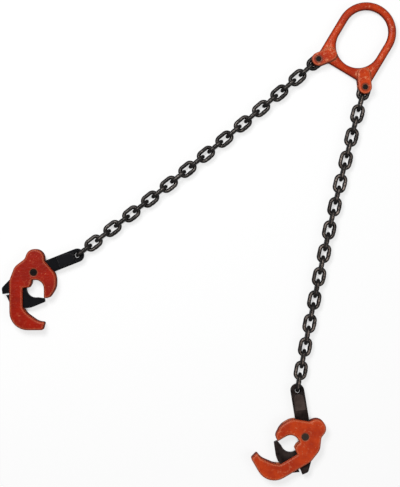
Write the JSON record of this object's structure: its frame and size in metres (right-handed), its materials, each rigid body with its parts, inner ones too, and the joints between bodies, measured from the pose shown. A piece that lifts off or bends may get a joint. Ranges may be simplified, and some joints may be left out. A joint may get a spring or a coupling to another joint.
{
  "type": "drum lifter",
  "caption": "Chain sling lifter: oblong master link with forked ears, chain legs, and hinged cam hooks that clamp the rim of a steel drum.",
  "frame": {"origin": "centre of the master link's eye, in the mid-plane of the sling as it lies flat", "axes": "+Z off the floor it lies on, +Y up the picture from the hooks to the master link, +X to the picture's right"},
  "size_m": [0.6945, 0.8414, 0.024],
  "materials": {
    "orange_paint": "satin",
    "red_paint": "satin",
    "chain_black": "satin",
    "lever_black": "satin",
    "dark_pin": "satin"
  },
  "bodies": {
    "master_link": {"master_link": "orange_paint", "clevis_pins": "dark_pin"},
    "left_link_01": {"left_link_01": "chain_black"},
    "left_link_02": {"left_link_02": "chain_black"},
    "left_link_03": {"left_link_03": "chain_black"},
    "left_link_04": {"left_link_04": "chain_black"},
    "left_link_05": {"left_link_05": "chain_black"},
    "left_link_06": {"left_link_06": "chain_black"},
    "left_link_07": {"left_link_07": "chain_black"},
    "left_link_08": {"left_link_08": "chain_black"},
    "left_link_09": {"left_link_09": "chain_black"},
    "left_link_10": {"left_link_10": "chain_black"},
    "left_link_11": {"left_link_11": "chain_black"},
    "left_link_12": {"left_link_12": "chain_black"},
    "left_link_13": {"left_link_13": "chain_black"},
    "left_link_14": {"left_link_14": "chain_black"},
    "left_link_15": {"left_link_15": "chain_black"},
    "left_link_16": {"left_link_16": "chain_black"},
    "left_link_17": {"left_link_17": "chain_black"},
    "left_link_18": {"left_link_18": "chain_black"},
    "left_link_19": {"left_link_19": "chain_black"},
    "left_link_20": {"left_link_20": "chain_black"},
    "left_link_21": {"left_link_21": "chain_black"},
    "left_link_22": {"left_link_22": "chain_black"},
    "left_link_23": {"left_link_23": "chain_black"},
    "left_link_24": {"left_link_24": "chain_black"},
    "left_link_25": {"left_link_25": "chain_black"},
    "left_link_26": {"left_link_26": "chain_black"},
    "left_lever": {"left_lever": "lever_black"},
    "left_hook": {"left_hook": "red_paint", "left_pivot_pin": "dark_pin"},
    "right_link_01": {"right_link_01": "chain_black"},
    "right_link_02": {"right_link_02": "chain_black"},
    "right_link_03": {"right_link_03": "chain_black"},
    "right_link_04": {"right_link_04": "chain_black"},
    "right_link_05": {"right_link_05": "chain_black"},
    "right_link_06": {"right_link_06": "chain_black"},
    "right_link_07": {"right_link_07": "chain_black"},
    "right_link_08": {"right_link_08": "chain_black"},
    "right_link_09": {"right_link_09": "chain_black"},
    "right_link_10": {"right_link_10": "chain_black"},
    "right_link_11": {"right_link_11": "chain_black"},
    "right_link_12": {"right_link_12": "chain_black"},
    "right_link_13": {"right_link_13": "chain_black"},
    "right_link_14": {"right_link_14": "chain_black"},
    "right_link_15": {"right_link_15": "chain_black"},
    "right_link_16": {"right_link_16": "chain_black"},
    "right_link_17": {"right_link_17": "chain_black"},
    "right_link_18": {"right_link_18": "chain_black"},
    "right_link_19": {"right_link_19": "chain_black"},
    "right_link_20": {"right_link_20": "chain_black"},
    "right_link_21": {"right_link_21": "chain_black"},
    "right_link_22": {"right_link_22": "chain_black"},
    "right_link_23": {"right_link_23": "chain_black"},
    "right_link_24": {"right_link_24": "chain_black"},
    "right_link_25": {"right_link_25": "chain_black"},
    "right_link_26": {"right_link_26": "chain_black"},
    "right_lever": {"right_lever": "lever_black"},
    "right_hook": {"right_hook": "orange_paint", "right_pivot_pin": "dark_pin"}
  },
  "joints": [
    {"name": "left_hook_swing", "type": "hinge", "parent": "left_lever", "child": "left_hook", "pos_m": [-0.57773, -0.41096, 0], "axis": [0, 0, 1], "range_deg": [0, 35]},
    {"name": "right_hook_swing", "type": "hinge", "parent": "right_lever", "child": "right_hook", "pos_m": [-0.10102, -0.69955, 0], "axis": [0, 0, -1], "range_deg": [0, 35]},
    {"name": "left_lever_swing", "type": "hinge", "parent": "left_link_26", "child": "left_lever", "pos_m": [-0.50148, -0.38077, 0], "axis": [0, 0, 1], "range_deg": [-40, 40]},
    {"name": "right_lever_swing", "type": "hinge", "parent": "right_link_26", "child": "right_lever", "pos_m": [-0.11427, -0.61863, 0], "axis": [0, 0, -1], "range_deg": [-40, 40]},
    {"name": "left_clevis_swing", "type": "hinge", "parent": "master_link", "child": "left_link_01", "pos_m": [-0.07759, -0.03633, 0], "axis": [0, 0, -1], "range_deg": [-15, 60]},
    {"name": "right_clevis_swing", "type": "hinge", "parent": "master_link", "child": "right_link_01", "pos_m": [0.00435, -0.08556, 0], "axis": [0, 0, -1], "range_deg": [-60, 15]},
    {"name": "left_link_02_swing", "type": "hinge", "parent": "left_link_01", "child": "left_link_02", "pos_m": [-0.09272, -0.04948, 0], "axis": [0.6541, -0.7564, 0], "range_deg": [-45, 45]},
    {"name": "left_link_03_swing", "type": "hinge", "parent": "left_link_02", "child": "left_link_03", "pos_m": [-0.10865, -0.06325, 0], "axis": [0, 0, 1], "range_deg": [-30, 30]},
    {"name": "left_link_04_swing", "type": "hinge", "parent": "left_link_03", "child": "left_link_04", "pos_m": [-0.12461, -0.07697, 0], "axis": [-0.65, 0.7599, 0], "range_deg": [-60, 60]},
    {"name": "left_link_05_swing", "type": "hinge", "parent": "left_link_04", "child": "left_link_05", "pos_m": [-0.1406, -0.09066, 0], "axis": [0, 0, -1], "range_deg": [-30, 30]},
    {"name": "left_link_06_swing", "type": "hinge", "parent": "left_link_05", "child": "left_link_06", "pos_m": [-0.15663, -0.1043, 0], "axis": [-0.646, 0.7633, 0], "range_deg": [-60, 60]},
    {"name": "left_link_07_swing", "type": "hinge", "parent": "left_link_06", "child": "left_link_07", "pos_m": [-0.1727, -0.11789, 0], "axis": [0, 0, -1], "range_deg": [-30, 30]},
    {"name": "left_link_08_swing", "type": "hinge", "parent": "left_link_07", "child": "left_link_08", "pos_m": [-0.18881, -0.13145, 0], "axis": [0.6419, -0.7668, 0], "range_deg": [-60, 60]},
    {"name": "left_link_09_swing", "type": "hinge", "parent": "left_link_08", "child": "left_link_09", "pos_m": [-0.20495, -0.14496, 0], "axis": [0, 0, 1], "range_deg": [-30, 30]},
    {"name": "left_link_10_swing", "type": "hinge", "parent": "left_link_09", "child": "left_link_10", "pos_m": [-0.22112, -0.15843, 0], "axis": [0.6379, -0.7702, 0], "range_deg": [-60, 60]},
    {"name": "left_link_11_swing", "type": "hinge", "parent": "left_link_10", "child": "left_link_11", "pos_m": [-0.23734, -0.17186, 0], "axis": [0, 0, 1], "range_deg": [-30, 30]},
    {"name": "left_link_12_swing", "type": "hinge", "parent": "left_link_11", "child": "left_link_12", "pos_m": [-0.25358, -0.18524, 0], "axis": [-0.6338, 0.7735, 0], "range_deg": [-60, 60]},
    {"name": "left_link_13_swing", "type": "hinge", "parent": "left_link_12", "child": "left_link_13", "pos_m": [-0.26987, -0.19858, 0], "axis": [0, 0, -1], "range_deg": [-30, 30]},
    {"name": "left_link_14_swing", "type": "hinge", "parent": "left_link_13", "child": "left_link_14", "pos_m": [-0.28618, -0.21188, 0], "axis": [-0.6296, 0.7769, 0], "range_deg": [-60, 60]},
    {"name": "left_link_15_swing", "type": "hinge", "parent": "left_link_14", "child": "left_link_15", "pos_m": [-0.30254, -0.22514, 0], "axis": [0, 0, -1], "range_deg": [-30, 30]},
    {"name": "left_link_16_swing", "type": "hinge", "parent": "left_link_15", "child": "left_link_16", "pos_m": [-0.31893, -0.23835, 0], "axis": [0.6255, -0.7802, 0], "range_deg": [-60, 60]},
    {"name": "left_link_17_swing", "type": "hinge", "parent": "left_link_16", "child": "left_link_17", "pos_m": [-0.33535, -0.25151, 0], "axis": [0, 0, 1], "range_deg": [-30, 30]},
    {"name": "left_link_18_swing", "type": "hinge", "parent": "left_link_17", "child": "left_link_18", "pos_m": [-0.35181, -0.26464, 0], "axis": [0.6214, -0.7835, 0], "range_deg": [-60, 60]},
    {"name": "left_link_19_swing", "type": "hinge", "parent": "left_link_18", "child": "left_link_19", "pos_m": [-0.3683, -0.27772, 0], "axis": [0, 0, 1], "range_deg": [-30, 30]},
    {"name": "left_link_20_swing", "type": "hinge", "parent": "left_link_19", "child": "left_link_20", "pos_m": [-0.38483, -0.29075, 0], "axis": [-0.6172, 0.7868, 0], "range_deg": [-60, 60]},
    {"name": "left_link_21_swing", "type": "hinge", "parent": "left_link_20", "child": "left_link_21", "pos_m": [-0.40139, -0.30374, 0], "axis": [0, 0, -1], "range_deg": [-30, 30]},
    {"name": "left_link_22_swing", "type": "hinge", "parent": "left_link_21", "child": "left_link_22", "pos_m": [-0.41799, -0.31669, 0], "axis": [-0.613, 0.7901, 0], "range_deg": [-60, 60]},
    {"name": "left_link_23_swing", "type": "hinge", "parent": "left_link_22", "child": "left_link_23", "pos_m": [-0.43462, -0.3296, 0], "axis": [0, 0, -1], "range_deg": [-30, 30]},
    {"name": "left_link_24_swing", "type": "hinge", "parent": "left_link_23", "child": "left_link_24", "pos_m": [-0.45128, -0.34246, 0], "axis": [0.6088, -0.7933, 0], "range_deg": [-60, 60]},
    {"name": "left_link_25_swing", "type": "hinge", "parent": "left_link_24", "child": "left_link_25", "pos_m": [-0.46798, -0.35527, 0], "axis": [0, 0, 1], "range_deg": [-30, 30]},
    {"name": "left_link_26_swing", "type": "hinge", "parent": "left_link_25", "child": "left_link_26", "pos_m": [-0.48472, -0.36804, 0], "axis": [0.6046, -0.7965, 0], "range_deg": [-60, 60]},
    {"name": "right_link_02_swing", "type": "hinge", "parent": "right_link_01", "child": "right_link_02", "pos_m": [-0.00087, -0.10492, 0], "axis": [0.9664, -0.2571, 0], "range_deg": [-45, 45]},
    {"name": "right_link_03_swing", "type": "hinge", "parent": "right_link_02", "child": "right_link_03", "pos_m": [-0.00628, -0.12526, 0], "axis": [0, 0, -1], "range_deg": [-30, 30]},
    {"name": "right_link_04_swing", "type": "hinge", "parent": "right_link_03", "child": "right_link_04", "pos_m": [-0.01162, -0.14563, 0], "axis": [-0.9682, 0.2502, 0], "range_deg": [-60, 60]},
    {"name": "right_link_05_swing", "type": "hinge", "parent": "right_link_04", "child": "right_link_05", "pos_m": [-0.01689, -0.16601, 0], "axis": [0, 0, 1], "range_deg": [-30, 30]},
    {"name": "right_link_06_swing", "type": "hinge", "parent": "right_link_05", "child": "right_link_06", "pos_m": [-0.02208, -0.1864, 0], "axis": [-0.97, 0.2433, 0], "range_deg": [-60, 60]},
    {"name": "right_link_07_swing", "type": "hinge", "parent": "right_link_06", "child": "right_link_07", "pos_m": [-0.0272, -0.20682, 0], "axis": [0, 0, 1], "range_deg": [-30, 30]},
    {"name": "right_link_08_swing", "type": "hinge", "parent": "right_link_07", "child": "right_link_08", "pos_m": [-0.03225, -0.22726, 0], "axis": [0.9717, -0.2364, 0], "range_deg": [-60, 60]},
    {"name": "right_link_09_swing", "type": "hinge", "parent": "right_link_08", "child": "right_link_09", "pos_m": [-0.03722, -0.24771, 0], "axis": [0, 0, -1], "range_deg": [-30, 30]},
    {"name": "right_link_10_swing", "type": "hinge", "parent": "right_link_09", "child": "right_link_10", "pos_m": [-0.04213, -0.26818, 0], "axis": [0.9733, -0.2294, 0], "range_deg": [-60, 60]},
    {"name": "right_link_11_swing", "type": "hinge", "parent": "right_link_10", "child": "right_link_11", "pos_m": [-0.04696, -0.28867, 0], "axis": [0, 0, -1], "range_deg": [-30, 30]},
    {"name": "right_link_12_swing", "type": "hinge", "parent": "right_link_11", "child": "right_link_12", "pos_m": [-0.05171, -0.30918, 0], "axis": [-0.9749, 0.2225, 0], "range_deg": [-60, 60]},
    {"name": "right_link_13_swing", "type": "hinge", "parent": "right_link_12", "child": "right_link_13", "pos_m": [-0.0564, -0.3297, 0], "axis": [0, 0, 1], "range_deg": [-30, 30]},
    {"name": "right_link_14_swing", "type": "hinge", "parent": "right_link_13", "child": "right_link_14", "pos_m": [-0.06101, -0.35024, 0], "axis": [-0.9765, 0.2156, 0], "range_deg": [-60, 60]},
    {"name": "right_link_15_swing", "type": "hinge", "parent": "right_link_14", "child": "right_link_15", "pos_m": [-0.06555, -0.37079, 0], "axis": [0, 0, 1], "range_deg": [-30, 30]},
    {"name": "right_link_16_swing", "type": "hinge", "parent": "right_link_15", "child": "right_link_16", "pos_m": [-0.07001, -0.39137, 0], "axis": [0.978, -0.2086, 0], "range_deg": [-60, 60]},
    {"name": "right_link_17_swing", "type": "hinge", "parent": "right_link_16", "child": "right_link_17", "pos_m": [-0.0744, -0.41195, 0], "axis": [0, 0, -1], "range_deg": [-30, 30]},
    {"name": "right_link_18_swing", "type": "hinge", "parent": "right_link_17", "child": "right_link_18", "pos_m": [-0.07872, -0.43255, 0], "axis": [0.9795, -0.2016, 0], "range_deg": [-60, 60]},
    {"name": "right_link_19_swing", "type": "hinge", "parent": "right_link_18", "child": "right_link_19", "pos_m": [-0.08296, -0.45317, 0], "axis": [0, 0, -1], "range_deg": [-30, 30]},
    {"name": "right_link_20_swing", "type": "hinge", "parent": "right_link_19", "child": "right_link_20", "pos_m": [-0.08713, -0.4738, 0], "axis": [-0.9809, 0.1946, 0], "range_deg": [-60, 60]},
    {"name": "right_link_21_swing", "type": "hinge", "parent": "right_link_20", "child": "right_link_21", "pos_m": [-0.09123, -0.49445, 0], "axis": [0, 0, 1], "range_deg": [-30, 30]},
    {"name": "right_link_22_swing", "type": "hinge", "parent": "right_link_21", "child": "right_link_22", "pos_m": [-0.09525, -0.51511, 0], "axis": [-0.9822, 0.1877, 0], "range_deg": [-60, 60]},
    {"name": "right_link_23_swing", "type": "hinge", "parent": "right_link_22", "child": "right_link_23", "pos_m": [-0.0992, -0.53579, 0], "axis": [0, 0, 1], "range_deg": [-30, 30]},
    {"name": "right_link_24_swing", "type": "hinge", "parent": "right_link_23", "child": "right_link_24", "pos_m": [-0.10308, -0.55648, 0], "axis": [0.9835, -0.1807, 0], "range_deg": [-60, 60]},
    {"name": "right_link_25_swing", "type": "hinge", "parent": "right_link_24", "child": "right_link_25", "pos_m": [-0.10688, -0.57718, 0], "axis": [0, 0, -1], "range_deg": [-30, 30]},
    {"name": "right_link_26_swing", "type": "hinge", "parent": "right_link_25", "child": "right_link_26", "pos_m": [-0.11061, -0.5979, 0], "axis": [0.9848, -0.1736, 0], "range_deg": [-60, 60]}
  ]
}
